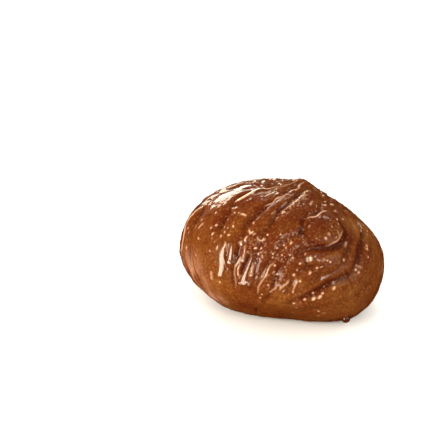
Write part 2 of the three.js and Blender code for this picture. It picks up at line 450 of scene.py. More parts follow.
def bent(d, size, reach):
    """Directions pushed about by up to the reach, in millimetres."""
    scaled = d * (MEAN_RADIUS / size)
    push = np.array([noise.noise_vector(place)[:] for place in scaled.tolist()])
    return pushed(d, push * (reach / MEAN_RADIUS))


# %% The furrows
WANDER_SIZE, WANDER_REACH = 3.2, 0.2
FILLED = 0.66
DEPTH_CHANGE_SIZE, DEPTH_CHANGE = 5.0, 0.5
CROWDING = 50
SMOOTH_UNDERSIDE = (38, 58)
DOWN = direction(0, -90)

colatitude, longitude = polar(bent(ball, WANDER_SIZE, WANDER_REACH))
crowded = np.minimum(1, np.sin(np.radians(colatitude)) / np.sin(np.radians(CROWDING)))
clear_of_foot = smoothstep(angle_from(ball, DOWN), *SMOOTH_UNDERSIDE)
furrowed = furrow_depth(colatitude, longitude, furrows, SYRUP_ROUNDED) * crowded * clear_of_foot
furrowed *= FILLED + DEPTH_CHANGE * lumps(ball, DEPTH_CHANGE_SIZE, offset=11.0)
print("furrows are up to", round(furrowed.max(), 2), "mm deep")

# %% [markdown]
# ## Reading places off the picture
#
# The small folds, threads and beads should lie where the picture shows them. Each is
# written down by where it is seen, in picture points from the top left corner. A straight
# ray from the camera through such a point meets the smooth body at one place, which is
# the place meant. It is found by walking along the ray until it dips under the surface.

# %% From a picture point to a place on the nut
PICTURE_WIDTH, PICTURE_HEIGHT = 445, 446
SENSOR_WIDTH = 36.0
WALK_FROM, WALK_TO, WALK_STEP = -28, 22, 0.1  # millimetres about the camera's distance


def seen(picture_points):
    """Directions from the middle of the nut to what is seen at picture points."""
    x, y = np.array(picture_points, float).T
    focal = CAMERA_LENS / SENSOR_WIDTH * max(PICTURE_WIDTH, PICTURE_HEIGHT)
    rays = (np.multiply.outer((x - PICTURE_WIDTH / 2) / focal, np.array(right))
            + np.multiply.outer((PICTURE_HEIGHT / 2 - y) / focal, np.array(up)) - np.array(back))
    start = np.array(camera.location - NUT_MIDDLE) / MM
    walk = CAMERA_DISTANCE / MM + np.arange(WALK_FROM, WALK_TO, WALK_STEP)
    places = start + rays[:, None] * walk[:, None]
    reach = np.linalg.norm(places, axis=2)
    ways = places / reach[..., None]
    flat = ways.reshape(-1, 3)
    above = reach - (body_radius(flat) + swelling_height(flat)).reshape(reach.shape)
    # a ray that just misses the nut is taken to mean the place it passes closest to
    step = np.where(above.min(1) < 0, (above < 0).argmax(1), above.argmin(1))
    return ways[np.arange(len(x)), step]


print("the middle of the picture's left streak lies towards", seen([(221, 260)])[0].round(2))

# %% Curves and ridges on the nut
FINENESS = 0.08                  # millimetres between the samples on a curve
RIDGE_REACH = 3                  # this many widths from its line a ridge is as good as flat
RIDGE_END, RIDGE_TAPER = 0.3, 5  # height at its ends, and how fast it grows from there


def curve_on_ball(picture_points):
    """Directions close together on a smooth curve through the places at picture points."""
    corners = seen(picture_points)
    ahead = np.vstack([2 * corners[0] - corners[1], corners, 2 * corners[-1] - corners[-2]])
    samples = []
    for a, b, c, d in zip(ahead, ahead[1:], ahead[2:], ahead[3:]):
        steps = max(2, int(MEAN_RADIUS * np.linalg.norm(c - b) / FINENESS))
        t = np.linspace(0, 1, steps, endpoint=False)[:, None]
        samples.append(0.5 * (2 * b + (c - a) * t + (2 * a - 5 * b + 4 * c - d) * t ** 2
                              + (3 * b - a - 3 * c + d) * t ** 3))
    samples = np.vstack(samples + [corners[-1:]])
    return samples / np.linalg.norm(samples, axis=1)[:, None]


def beside(picture_points, reach):
    """The net's points near a curve: their numbers, distance from it and share of its length."""
    line = curve_on_ball(picture_points)
    middle = line.mean(0) / np.linalg.norm(line.mean(0))
    half_length = np.arccos(np.clip((line @ middle).min(), -1, 1))
    near = np.flatnonzero(ball @ middle > np.cos(half_length + reach / MEAN_RADIUS))
    closeness = ball[near] @ line.T
    away = MEAN_RADIUS * np.sqrt(np.maximum(0, 2 - 2 * closeness.max(1)))
    return near, away, closeness.argmax(1) / (len(line) - 1)


def ridge(picture_points, width):
    """A rounded ridge along a curve: 1 on its line, thinner towards its ends."""
    near, away, along = beside(picture_points, RIDGE_REACH * width)
    height = np.zeros(len(ball))
    taper = np.minimum(1, RIDGE_TAPER * np.minimum(along, 1 - along) + RIDGE_END)
    height[near] = np.exp(-(away / width) ** 2) * taper
    return height


# %% [markdown]
# ## Knob and small folds
#
# Near the top right a low round knob stands up, with a moat round it. Between the long
# furrows lie short grooves, most of them beside a streak of glaze. They are too fine for
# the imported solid.

# %% The knob and the short grooves
KNOB = dict(colatitude=56, longitude=19, length=15.5, width=13, height=0.3)
MOAT_DEPTH, MOAT_WIDTH = 0.2, 0.12
# picture points along each groove, its width and its depth
GROOVES = {
    "right of the first streak": (
        [(227.5, 243), (227, 249), (226.3, 256), (226.3, 262), (227, 268)], 0.38, 0.32),
    "right of the second streak": ([(238, 246), (237.5, 252), (236, 258), (233.5, 264)], 0.4, 0.12),
    "left of the third streak": ([(249.5, 256), (247, 262), (244.5, 268), (242, 275)], 0.5, 0.25),
    "in the third streak": ([(253, 262), (250.5, 268), (249, 274), (249, 278)], 0.25, 0.25),
    "right of the fourth streak": ([(257, 258), (256, 265), (255, 272), (254.5, 279)], 0.4, 0.25),
    "left of the knob": (
        [(308, 215.8), (304.5, 219), (303, 225), (302, 230), (300.5, 235)], 0.35, 0.25),
    "above the knob": ([(309, 215.5), (314, 215), (318, 213)], 0.25, 0.12),
    "under the knob": (
        [(314, 247), (322, 248.7), (330, 248), (336, 246), (340, 242), (343, 236.5),
         (345, 232)], 0.5, 0.25),
    "round the big bead": ([(306, 253), (305.5, 259), (307, 265), (312, 266.5)], 0.35, 0.2),
    "over the row of beads": (
        [(302, 298), (308, 295), (314, 291.5), (320, 288.5), (326, 285.5), (333, 282)], 0.5, 0.3),
    "right side": ([(361, 241), (360, 250), (359, 257), (358, 263), (354.5, 268)], 0.45, 0.2),
    "lower right": ([(347, 272), (349, 278), (351, 284), (354, 291)], 0.35, 0.15),
    "notch in the base": ([(257, 307), (256.5, 310), (257, 313)], 0.45, 0.25),
    "left of the drop": ([(262, 312.5), (268, 314)], 0.4, 0.2),
    "bottom edge": ([(278, 313), (285, 315)], 0.4, 0.25),
}


def knob_out(colatitude, longitude):
    """How far out from the middle of the knob a place is, 1 on its edge."""
    level = np.sin(np.radians(KNOB["colatitude"]))
    along = around(longitude, KNOB["longitude"]) * level / KNOB["length"]
    return np.hypot(along, (colatitude - KNOB["colatitude"]) / KNOB["width"])


out = knob_out(colatitude, longitude)
moat = np.exp(-((out - 1) / MOAT_WIDTH) ** 2)
knob = KNOB["height"] * np.maximum(0, 1 - out ** 2) - MOAT_DEPTH * moat
grooved = np.zeros(len(ball))
for points, width, depth in GROOVES.values():
    grooved = np.maximum(grooved, depth * ridge(points, width))
print("short grooves:", len(GROOVES))

# %% [markdown]
# ## Where the flesh is smooth, crumpled or grainy
#
# The flesh shrank while it was candied. On the left cheek and low on the front it stayed
# smooth, in the middle it is crumpled, and a stretch low in the middle is broken into
# grains. Each kind is a set of places that fade into each other, measured from the
# picture, and the back gets patches by noise.

# %% Places
# azimuth, elevation and reach in degrees
SMOOTH_PLACES = [(-139, 17, 24), (-117, -10, 26), (-153, 28, 16), (-70, -14, 20), (-38, -6, 24),
                 (-126, 8, 9), (-112, 4, 6), (-14, -2, 22), (-121, 20, 10)]
GRAINY_PLACES = [(-79, 16, 9), (-74, 30, 10), (-66, 41, 11), (-96, 36, 9), (-40, 62, 7), (-62, 2, 6)]
PATCH_SIZE, PATCH_EDGE, PATCH_SHARE = 7.0, (0.15, 0.5), 0.5
GRAINY_GAP_SIZE, GRAINY_GAP_EDGE = 2.2, (-0.4, 0.2)
SMOOTHED, FOOT_SHARE = 0.8, 0.25  # crumples lost where it is smooth, and kept on the foot

patches = smoothstep(lumps(ball, PATCH_SIZE, offset=5.0), *PATCH_EDGE)
smooth = np.clip(nearness(ball, SMOOTH_PLACES) + PATCH_SHARE * patches, 0, 1)
grainy = nearness(ball, GRAINY_PLACES)
grainy *= smoothstep(lumps(ball, GRAINY_GAP_SIZE, offset=7.0), *GRAINY_GAP_EDGE)
crumpled = (1 - SMOOTHED * smooth) * (FOOT_SHARE + (1 - FOOT_SHARE) * clear_of_foot)
print("smooth:", round(100 * np.mean(smooth > 0.5)), "%")
print("grainy:", round(100 * np.mean(grainy > 0.5), 1), "%")

# %% [markdown]
# ## Crumples and fine wrinkles
#
# Crumples are plain noise in three sizes. Fine wrinkles follow the folds, so they need
# coordinates that do the same. Counting the furrows round the nut gives such a
# coordinate: it is a whole number in each furrow and runs evenly up to the next one in
# between. Noise that is long down the nut and short across this count makes wrinkles
# that bend wherever the furrows bend. Where the noise crosses zero, a thin crest is left
# standing.

# %% A coordinate that follows the folds
def furrow_count(colatitude, longitude):
    """Number of the furrow a place lies past, with the share of the way to the next."""
    count = np.zeros(len(colatitude))
    centres = [np.interp(colatitude, DEGREES, smooth_path(at)) for at, *_ in furrows]
    for index, centre in enumerate(centres):
        gap = (centres[(index + 1) % len(centres)] - centre) % 360
        way = (longitude - centre) % 360
        inside = way < gap
        count[inside] = index + way[inside] / gap[inside]
    return count


turn = 2 * np.pi * furrow_count(colatitude, longitude) / len(furrows)


def flowing(length, share, offset=0.0):
    """Noise in lumps so many degrees long and such a share of a furrow's gap wide."""
    across = len(furrows) / (2 * np.pi * share)
    places = [colatitude / length + offset, across * np.cos(turn), across * np.sin(turn)]
    return noise_at(np.stack(places, 1))


# %% Crumples and wrinkles
CRUMPLES = [(2.4, 0.17), (1.2, 0.11), (0.65, 0.05)]  # size and height
CREST_HEIGHT, CREST_WIDTH, CREST_SHARPNESS = 0.085, 0.16, 1.5
CREST_LENGTH, CREST_SHARE = 13, 0.42
CREST_GAP_SIZE, CREST_GAP_EDGE = 3.4, (-0.1, 0.35)
WRINKLE_HEIGHT, WRINKLE_LENGTH, WRINKLE_SHARE = 0.10, 9, 0.22
GRIT_SIZE, GRIT_HEIGHT = 0.42, 0.030
KNOB_EDGE, KNOB_SHARE = (0.6, 1.0), 0.2  # share of the fine relief that is left on the knob
# where the picture shows the small folds they are drawn one by one, so noise steps back
IN_VIEW, DRAWN_SHARE = (0.1, 0.5), 0.5

crumples = sum(height * lumps(ball, size, offset=3.0 * size) for size, height in CRUMPLES)
grit = GRIT_HEIGHT * lumps(ball, GRIT_SIZE, offset=51.0) * clear_of_foot
crests = np.maximum(0, 1 - np.abs(flowing(CREST_LENGTH, CREST_SHARE)) / CREST_WIDTH) ** CREST_SHARPNESS
crests *= smoothstep(lumps(ball, CREST_GAP_SIZE, offset=21.0), *CREST_GAP_EDGE)
wrinkles = flowing(WRINKLE_LENGTH, WRINKLE_SHARE, offset=40.0)
fine = CREST_HEIGHT * crests + WRINKLE_HEIGHT * wrinkles * (1 - np.minimum(1, grainy))
off_knob = KNOB_SHARE + (1 - KNOB_SHARE) * smoothstep(out, *KNOB_EDGE)
in_view = smoothstep(ball @ np.array(back), *IN_VIEW)
relief = crumpled * (crumples + fine * off_knob) * (1 - DRAWN_SHARE * in_view)
print("crumples and wrinkles are up to", round(np.abs(relief).max(), 2), "mm")

# %% [markdown]
# ## Threads of glaze
#
# Some crests are sharper than the rest: the glaze has set there as a thin raised thread,
# and each one draws a fine bright line. They run down the shoulders of the folds, round
# the grainy pod low in the middle and along the edge of the knob. The line is partly a
# real highlight and partly a painted one: the middle of each thread is coloured pale
# cream, as dried sugar and as a painted highlight. A thread is a short list of points on
# the nut, eased into a curve, and every point of the net near the curve is lifted. One long
# crest above the middle is frosted with sugar, so it is broad and counts as grainy, and
# the tops of its grains are painted pale in the same way.

# %% Threads
# picture points along each thread, its width, its height and how pale its middle is
# painted, as dried sugar and as a painted highlight
THREADS = {
    "left rim": (
        [(202, 206.5), (197, 210.5), (192, 215.5), (188.5, 220.5), (186, 226), (184.8, 232),
         (183.8, 238), (183, 244), (182.5, 250), (183, 256)], 0.25, 0.2, 0.85),
    "first line": (
        [(237, 202), (240, 200), (245, 197), (250, 194), (256, 190.5), (262, 188.5), (268, 189),
         (278, 187), (284, 186.5), (290, 184.5), (295, 182.5), (299, 180)], 0.24, 0.1, 0.6),
    "first line, low end": (
        [(237, 202), (241, 199), (245, 197), (250, 194), (255, 191)], 0.45, 0.05, 0.8),
    "second line": (
        [(263, 206), (268, 203.5), (272, 202), (275, 199), (280, 196.5), (285, 195),
         (291, 195)], 0.2, 0.14, 0.5),
    "tip line": (
        [(285, 192), (290, 191), (296, 190), (299, 188), (300, 184.5), (302, 183),
         (306, 181)], 0.2, 0.15, 0.6),
    "small line": ([(271, 214.5), (276, 210)], 0.2, 0.1, 0.3),
    "faint line": ([(281, 206), (287, 201)], 0.2, 0.08, 0.25),
    "dash below the tip": ([(310, 205.5), (311, 203), (313, 201)], 0.22, 0.13, 0.6),
    "knob top": (
        [(307, 218.5), (310, 217.5), (314, 217), (317, 216), (319, 214.5), (321, 212.5), (324, 211),
         (328, 211)], 0.19, 0.15, 0.6),
    "knob bottom": (
        [(343.5, 229.5), (341, 234), (339, 238), (337, 241), (333, 243), (330, 245),
         (326, 246)], 0.22, 0.16, 0.4),
    "knob branch": ([(336, 230), (338, 234), (339, 237)], 0.18, 0.1, 0.3),
    "right stroke": ([(348, 241), (346, 246.5)], 0.2, 0.1, 0.35),
    "right dash": ([(357, 265), (362, 268)], 0.2, 0.12, 0.35),
    "loop": ([(225, 241), (226.5, 246), (226.5, 252)], 0.2, 0.12, 0.4),
    "beside the third streak": ([(254, 263), (253, 268), (252, 273), (251, 277)], 0.35, 0.2, 0.2),
    "left thread": (
        [(240, 254), (239.5, 258), (237, 262), (234.5, 267), (233.5, 272), (234.5, 278), (236, 284),
         (236, 288)], 0.18, 0.13, 0.4),
    "middle thread": ([(241, 264), (239, 267), (238, 271), (238.5, 276)], 0.2, 0.13, 0.5),
    "upper thread": ([(245, 245), (245, 250), (244, 255), (243.5, 261)], 0.32, 0.14, 0.3),
    "upper dash": ([(241, 240), (240.5, 246)], 0.22, 0.12, 0.5),
    "wedge": ([(248, 236), (246, 238), (244, 241)], 0.32, 0.15, 0.5),
    "vee": ([(249, 229), (250, 232), (252, 233), (254, 231)], 0.25, 0.15, 0.7),
    "bow": ([(257, 237), (259, 240), (262, 240), (264, 237)], 0.22, 0.14, 0.6),
    "pod left": (
        [(276, 261), (273, 263.5), (270, 266), (268, 270), (266, 275), (263.5, 279), (261, 283),
         (258.5, 287), (258, 291), (257, 295)], 0.19, 0.16, 0.45),
    "pod right": ([(289, 279), (287, 283), (284, 285.5), (281, 288), (279, 290.5)], 0.3, 0.15, 0.4),
    "pod foot": ([(277, 287.5), (272, 291), (269.5, 293.5)], 0.24, 0.13, 0.4),
    "right of the pod": ([(298, 280), (296, 284), (294, 288), (293, 292)], 0.19, 0.13, 0.45),
    # a painted highlight: the bright dot on the big bead is coloured pale cream
    "painted highlight on the big bead": ([(310, 257), (310.2, 259), (310.2, 261)], 0.46, 0.08, 0.95),
    "low streak": ([(211.5, 271), (212, 276), (212.5, 280)], 0.36, 0.16, 0.5),
    "cheek stroke": ([(204, 223), (201, 226), (198.5, 229)], 0.26, 0.14, 0.6),
    "shoulder dash": ([(241, 214), (244, 215), (247, 216)], 0.28, 0.15, 0.6),
    "upper shoulder dash": ([(231, 208), (237, 208)], 0.2, 0.12, 0.45),
}
FROSTED_CREST = [(276, 217.5), (281, 214.5), (285, 211), (289, 208), (293, 205), (296, 200.5), (300, 199),
                 (303, 197), (305, 194), (309, 191), (314, 193)]
FROST_WIDTH, FROST_HEIGHT = 0.75, 0.20
THICKNESS_CHANGE_SIZE, THICKNESS_CHANGE = 1.6, 0.5

threaded, thread_sugar_and_highlight = np.zeros(len(ball)), np.zeros(len(ball))
uneven = 1 + THICKNESS_CHANGE * lumps(ball, THICKNESS_CHANGE_SIZE, offset=31.0)
for points, width, height, sugar_and_glint in THREADS.values():
    thread = ridge(points, width)
    threaded = np.maximum(threaded, height * thread)
    # the middle of a thread is painted pale cream, as dried sugar and as a painted highlight
    thread_sugar_and_highlight = np.maximum(thread_sugar_and_highlight, sugar_and_glint * thread ** 2)
threaded, thread_sugar_and_highlight = threaded * uneven, thread_sugar_and_highlight * uneven
frosted = ridge(FROSTED_CREST, FROST_WIDTH)
grainy = np.maximum(grainy, frosted)
print(len(THREADS), "threads of glaze")

# %% [markdown]
# ## Runs of syrup
#
# Where syrup ran down and set, it has filled the folds under it and lies as a smooth
# band with a flat top, thicker towards its lower end. These runs carry the broad white
# streaks of light, which a crumpled surface would scatter. A run replaces the relief
# under it, so it is kept apart here and blended in when all the rest has been added up.

# %% Runs
# picture points down each run; its width, then its height, at the upper and at the lower
# end; and the share of the relief under it that it replaces
RUNS = {
    "first streak": (
        [(224, 242), (222.5, 248), (221.3, 254), (221, 260), (221.3, 264), (221.2, 269),
         (221, 275)], (0.78, 1.05), (0.03, 0.6), 1),
    "second streak": (
        [(232.8, 243), (231.2, 249), (230.7, 254), (230.5, 258),
         (229.7, 262)], (0.6, 1.15), (0.05, 0.25), 1),
    "third streak": (
        [(252.5, 257), (250.3, 262), (248.3, 267), (246.8, 271), (245.5, 275), (244.7, 279),
         (244.5, 283)], (0.5, 1.2), (0.06, 0.7), 1),
    "fourth streak": ([(253.8, 266), (252.5, 270), (251.5, 276)], (0.25, 0.6), (0.05, 0.25), 1),
    "big bead": ([(310, 256), (310, 262)], (0.55, 0.45), (0.2, 0.2), 1),
    "first line": (
        [(299, 180), (295, 182.5), (290, 184.5), (284, 186.5), (278, 187), (268, 189), (262, 188.5),
         (256, 190.5), (250, 194), (245, 197), (240, 200), (237, 202)], (0.35, 0.85), (0.12, 0.15), 1),
    "pool": ([(241, 283.5), (245, 285), (249, 283)], (0.85, 0.85), (0.62, 0.62), 1),
    "band": (
        [(270, 181), (258, 183), (246, 186), (236, 189), (226, 193), (217, 198),
         (209, 204)], (0.9, 1.5), (0, 0), 0.75),
}
RUN_EDGE = 4                   # the higher, the flatter its top and the steeper its edge
RUN_WIDENS, RUN_SWELLS = 2, 5  # the higher, the nearer to its lower end this happens
RUN_REACH = 2                  # this many widths from its line a run has ended

run_fill, run_height = np.zeros(len(ball)), np.zeros(len(ball))
for points, widths, heights, fill in RUNS.values():
    near, away, along = beside(points, RUN_REACH * max(widths))
    width = widths[0] + (widths[1] - widths[0]) * along ** RUN_WIDENS
    flat_top = np.exp(-(away / width) ** RUN_EDGE)
    height = flat_top * (heights[0] + (heights[1] - heights[0]) * along ** RUN_SWELLS)
    run_height[near] = np.maximum(run_height[near], height)
    run_fill[near] = np.maximum(run_fill[near], fill * flat_top)
print("runs of syrup:", ", ".join(RUNS))

# %% [markdown]
# ## Grains and beads
#
# Grains of flesh and sugar lie close together in the grainy places. Cell noise gives
# separate round grains, which wave-like noise can't. Beads of syrup are scattered much
# wider apart. The larger ones stand where the picture shows a bright dot, and a seeded
# draw scatters small ones all over the nut, fewer where it is smooth or where the picture
# shows them anyway. A small bead is painted pale cream in its middle, as dried sugar and
# as a painted highlight, and a large one is left clear.

# %% Grains
GRAIN_SIZE, GRAIN_HEIGHT = 0.6, 0.13
GRAIN_REACH_SQUARED = 0.45  # in cells of the noise
GRAIN_SUNK = 0.5            # share of its height by which a grain sits in the flesh


def grains(d):
    """Round grains from 0 between them to 1 on their tops."""
    scaled = d * (MEAN_RADIUS / GRAIN_SIZE)
    nearest = np.array([noise.voronoi(place)[0][0] for place in scaled.tolist()])
    return np.maximum(0, 1 - nearest ** 2 / GRAIN_REACH_SQUARED)


grain_shape = grains(ball)
grained = grainy * (grain_shape - GRAIN_SUNK)
print("grains stand up to", round(GRAIN_HEIGHT * grained.max(), 2), "mm proud")

# %% Beads that the picture shows
# picture points, radius, height and, where it isn't round, how much longer than wide it is
LARGE_BEADS = {
    "left rim": [
        (196, 211.5, 0.22, 0.1), (193, 215, 0.2, 0.09), (202, 220, 0.25, 0.1), (187.5, 228, 0.26, 0.11),
        (186, 247.5, 0.28, 0.12), (199, 238.5, 0.28, 0.12), (180.5, 250, 0.3, 0.12),
        (196, 255, 0.2, 0.06)],
    "left shoulder": [
        (219, 207, 0.4, 0.14), (216, 213, 0.3, 0.12), (216, 225, 0.38, 0.15), (211.5, 228, 0.3, 0.12),
        (213, 234, 0.32, 0.13, 1.6), (205, 204, 0.45, 0.18), (210, 200.5, 0.35, 0.13),
        (210, 251, 0.2, 0.07)],
    "above the streaks": [
        (224.5, 227, 0.25, 0.1), (233.5, 226, 0.3, 0.1), (228, 228, 0.22, 0.08), (225, 232, 0.25, 0.1),
        (229, 235, 0.35, 0.1), (221, 236, 0.35, 0.12), (235, 213, 0.25, 0.1), (239, 213, 0.25, 0.1),
        (227, 219, 0.28, 0.08)],
    "between and below the streaks": [
        (243, 261, 0.3, 0.12), (238.5, 275, 0.3, 0.12), (220, 282, 0.25, 0.06, 1.5),
        (251.5, 275, 0.35, 0.14)],
    "crumpled middle": [
        (253.5, 223, 0.34, 0.15), (267.5, 234.5, 0.34, 0.15), (280.5, 234.5, 0.28, 0.1),
        (255.5, 248, 0.42, 0.16), (261, 248, 0.35, 0.12), (258, 253.5, 0.3, 0.1)],
    "grainy middle": [
        (291, 243, 0.3, 0.12, 1.7), (284, 245, 0.3, 0.1), (286, 248, 0.25, 0.1), (277, 248, 0.3, 0.1),
        (282, 255, 0.28, 0.1), (273, 254, 0.3, 0.1), (293, 258, 0.3, 0.12), (290, 255, 0.3, 0.12)],
    "round the pod": [
        (262, 294.5, 0.26, 0.1), (260, 298, 0.3, 0.1), (294, 304, 0.35, 0.13), (300, 281, 0.35, 0.12),
        (293, 292, 0.3, 0.1), (275, 265.5, 0.3, 0.12), (277, 275, 0.3, 0.12), (274, 272, 0.25, 0.08),
        (268, 285, 0.25, 0.08)],
    "on the knob": [(328, 234.5, 0.5, 0.08), (325, 238.5, 0.45, 0.08)],
    "below the knob": [
        (300, 263.5, 0.34, 0.14), (310, 273, 0.3, 0.14, 1.8), (317, 268, 0.3, 0.12),
        (294, 275, 0.42, 0.15), (297, 270, 0.25, 0.08), (330, 262, 0.28, 0.09),
        (327, 260.5, 0.25, 0.07), (345, 260, 0.3, 0.08)],
    "row at the lower right": [
        (314, 299, 0.42, 0.25, 1.8), (314, 294, 0.3, 0.14), (320, 297, 0.35, 0.22, 2.2),
        (323, 293.5, 0.32, 0.15), (334, 288, 0.33, 0.2, 1.8), (305, 300, 0.32, 0.14, 1.5),
        (318.5, 311, 0.3, 0.1)],
    "string right of the tip": [
        (321, 193, 0.42, 0.3), (323, 197, 0.46, 0.42), (325, 202, 0.34, 0.18), (325, 205.5, 0.42, 0.25),
        (332, 205, 0.4, 0.32, 1.6), (335, 211, 0.36, 0.36, 1.6), (337.5, 219.3, 0.4, 0.36),
        (338, 224, 0.28, 0.09), (343, 219, 0.25, 0.09), (346, 211, 0.3, 0.08), (331.5, 201, 0.6, 0.4),
        (341, 205, 0.6, 0.35), (325, 194, 0.65, 0.35)],
    "right edge": [
        (359, 224, 0.36, 0.28), (363, 225, 0.25, 0.1), (362.5, 230, 0.42, 0.35), (367, 231, 0.3, 0.12),
        (367, 246, 0.25, 0.09), (367, 249, 0.3, 0.11), (368, 257, 0.25, 0.07), (357, 270, 0.3, 0.12),
        (359, 272.5, 0.25, 0.1)],
}
# beads up to this radius are painted pale cream in the middle, as sugar and as a painted highlight
PALE_UP_TO, CLEAR_FROM = 0.42, 0.56
PALE_BEAD, CLEAR_BEAD = 0.85, 0.1

beads, bead_sugar_and_highlight = np.zeros(len(ball)), np.zeros(len(ball))


def add_bead(middle, radius, tall, stretch, sugar_and_glint):
    """Lift the net by a bead's round cap, which may be stretched along the folds."""
    near = np.flatnonzero(ball @ middle > np.cos(radius * stretch / MEAN_RADIUS))
    offset = MEAN_RADIUS * (ball[near] - middle)
    to_tip = TIP_AXIS - (TIP_AXIS @ middle) * middle
    along = offset @ (to_tip / np.linalg.norm(to_tip))
    away_squared = (offset ** 2).sum(1) - along ** 2 * (1 - stretch ** -2)
    cap = np.maximum(0, 1 - away_squared / radius ** 2)
    beads[near] = np.maximum(beads[near], tall * cap)
    # the middle of the cap is painted pale, as dried sugar and as a painted highlight
    bead_sugar_and_highlight[near] = np.maximum(bead_sugar_and_highlight[near], sugar_and_glint * cap ** 2)


for group in LARGE_BEADS.values():
    for x, y, radius, tall, *stretch in group:
        sugar_and_glint = np.interp(radius, [PALE_UP_TO, CLEAR_FROM], [PALE_BEAD, CLEAR_BEAD])
        add_bead(seen([(x, y)])[0], radius, tall, *stretch or [1], sugar_and_glint)
print(sum(len(group) for group in LARGE_BEADS.values()), "beads from the picture")

# %% Small beads all over
SMALL_BEADS = dict(tries=2600, radius=(0.13, 0.28), stretch=(1.0, 2.6), steepness=0.36,
                   sugar_and_glint=0.4, seed=23)
BEADS_ANYWHERE, BEADS_ON_ROUGH, BEADS_ON_GRAINS = 0.16, 0.40, 0.4  # shares of the tries
BEAD_GAP_SIZE, BEAD_GAP_EDGE = 2.6, (-0.25, 0.35)
DRAWN_BEADS_SHARE = 0.7  # small beads left out where the large ones are drawn

random = np.random.default_rng(SMALL_BEADS["seed"])
bead_share = BEADS_ANYWHERE + BEADS_ON_ROUGH * (1 - smooth) + BEADS_ON_GRAINS * grainy
gaps = smoothstep(lumps(ball, BEAD_GAP_SIZE, offset=61.0), *BEAD_GAP_EDGE)
bead_share = clear_of_foot * np.clip(bead_share, 0, 1)
bead_share *= gaps * (1 - DRAWN_BEADS_SHARE * in_view)
for way in random.normal(size=(SMALL_BEADS["tries"], 3)):
    way /= np.linalg.norm(way)
    radius, stretch = random.uniform(*SMALL_BEADS["radius"]), random.uniform(*SMALL_BEADS["stretch"])
    if random.random() < bead_share[(ball @ way).argmax()]:
        add_bead(way, radius, SMALL_BEADS["steepness"] * radius, stretch, SMALL_BEADS["sugar_and_glint"])
print("beads of syrup cover", round(100 * np.mean(beads > 0), 1), "% of the nut")

# %% [markdown]
# ## Put the shape together
#
# The reach along each direction is the body plus all the relief. The nut rests on a flat
# spot, so what would reach below the floor is pressed flat. The finished net becomes one
# closed mesh with smooth shading.

# %% Make the mesh
relief += knob - furrowed - grooved
relief += grit + threaded + FROST_HEIGHT * frosted + GRAIN_HEIGHT * grained
relief = relief * (1 - run_fill) + run_height + beads
middle_of_nut = np.array(NUT_MIDDLE) / MM
points = ball * (body_radius(ball) + swelling_height(ball) + relief)[:, None] + middle_of_nut
points[:, 2] = np.maximum(points[:, 2], 0)


def mesh_object(name, points, faces):
    """A smooth object from points in millimetres about the middle of the nut."""
    mesh = bpy.data.meshes.new(name)
    mesh.from_pydata((points * MM).tolist(), [], faces.tolist())
    mesh.shade_smooth()
    made = bpy.data.objects.new(name, mesh)
    bpy.context.collection.objects.link(made)
    return made


nut = mesh_object("glazed_chestnut", points, faces)
print("the nut reaches, in mm, from", np.round(points.min(0), 1), "to", np.round(points.max(0), 1))

# %% [markdown]
# ## The drop of syrup
#
# At the lower right one drop of syrup ran down and set. It is a ball sunk into the flesh
# up to its last bit. Such a ball overhangs, which a net of one reach for each direction
# can't follow, so it is a piece of its own.

# %% Drop
DROP = dict(azimuth=-24, elevation=-23.5, radius=0.85, proud=0.75)
DROP_FINENESS = 12

drop_way = direction(DROP["azimuth"], DROP["elevation"])
drop_middle = drop_way * (body_radius(drop_way[None])[0] + DROP["proud"] - DROP["radius"])
drop_ball, drop_faces = ball_net(DROP_FINENESS)
drop = mesh_object("syrup_drop", drop_ball * DROP["radius"] + drop_middle + middle_of_nut, drop_faces)
print("the drop lies", np.round(drop_middle + middle_of_nut, 1), "mm from the middle of the floor")

# %% [markdown]
# ## Facts for the material
#
# The material has to know where the folds, the grains and the smooth places are. These
# are known here already, so they are stored on the mesh, one number for each point. The
# coordinate that follows the folds is stored as well, so that streaks of colour bend
# with them. Two facts are about the glaze: it is thick on the runs, threads and beads and
# thinner between them, and on a few lines it has dried and is nearly dull.

# %% Places of each colour
# azimuth, elevation and reach in degrees
COLOUR_PLACES = {
    # the amber places are partly the flesh's own tone and partly painted light: the left cheek is made
    # brighter where the lamps at the left fall on it, and places on the right are made lighter too
    "amber_and_painted_light": [(-2, 26, 20), (-139, 17, 24), (-123, 45, 15), (-117, -10, 26), (-150, 32, 14), (-5, 10, 18),
              (-30, -8, 22)],
    "ochre": [(1, 34, 11), (-60, 13, 8), (-74, -1, 11), (-117, 5, 9), (-30, 8, 12)],
    "red": [(-161, 34, 10), (-138, 64, 16), (-112, 34, 8), (-18, 28, 12), (-52, 53, 16), (-104, -16, 10)],
    # a pale pinkish streaked patch low on the left: partly a matt film of syrup, partly a painted
    # reflection of the white floor
    "film_and_floor_reflection": [(-144, 2, 8), (-137, -6, 8), (-129, -14, 7)],
    "matt": [(-8, 22, 34), (-30, -4, 24), (-137, -6, 14)],
}


def store(piece, name, values, kind="FLOAT", part="value"):
    """Keep a number or a vector for each point of a piece's mesh, for the material to read."""
    attribute = piece.data.attributes.new(name, kind, "POINT")
    attribute.data.foreach_set(part, np.asarray(values, np.float32).ravel())


for name, places in COLOUR_PLACES.items():
    store(nut, name, nearness(ball, places))
    print(name, "at", len(places), "places")

# %% Painted shade in the folds, and pale sugar with painted highlights
FURROW_FULL, GROOVE_FULL, MOAT_SHARE = 0.75, 0.35, 0.5  # depths that count as a full fold
CREST_PALE = 0.2
GRAIN_PALE, GRAIN_TOP = 0.35, (0.7, 1.0)
FROST_PALE, FROST_TOP = 0.42, (0.35, 0.9)
MOST_PALE = 0.85

# the folds take a darker red by their depth: partly deeper syrup, partly painted shade in the furrows,
# grooves and the moat round the knob
folded = np.clip(furrowed / FURROW_FULL + grooved / GROOVE_FULL + MOAT_SHARE * moat, 0, 1)
store(nut, "fold_syrup_and_shade", (1 - run_fill) * folded)
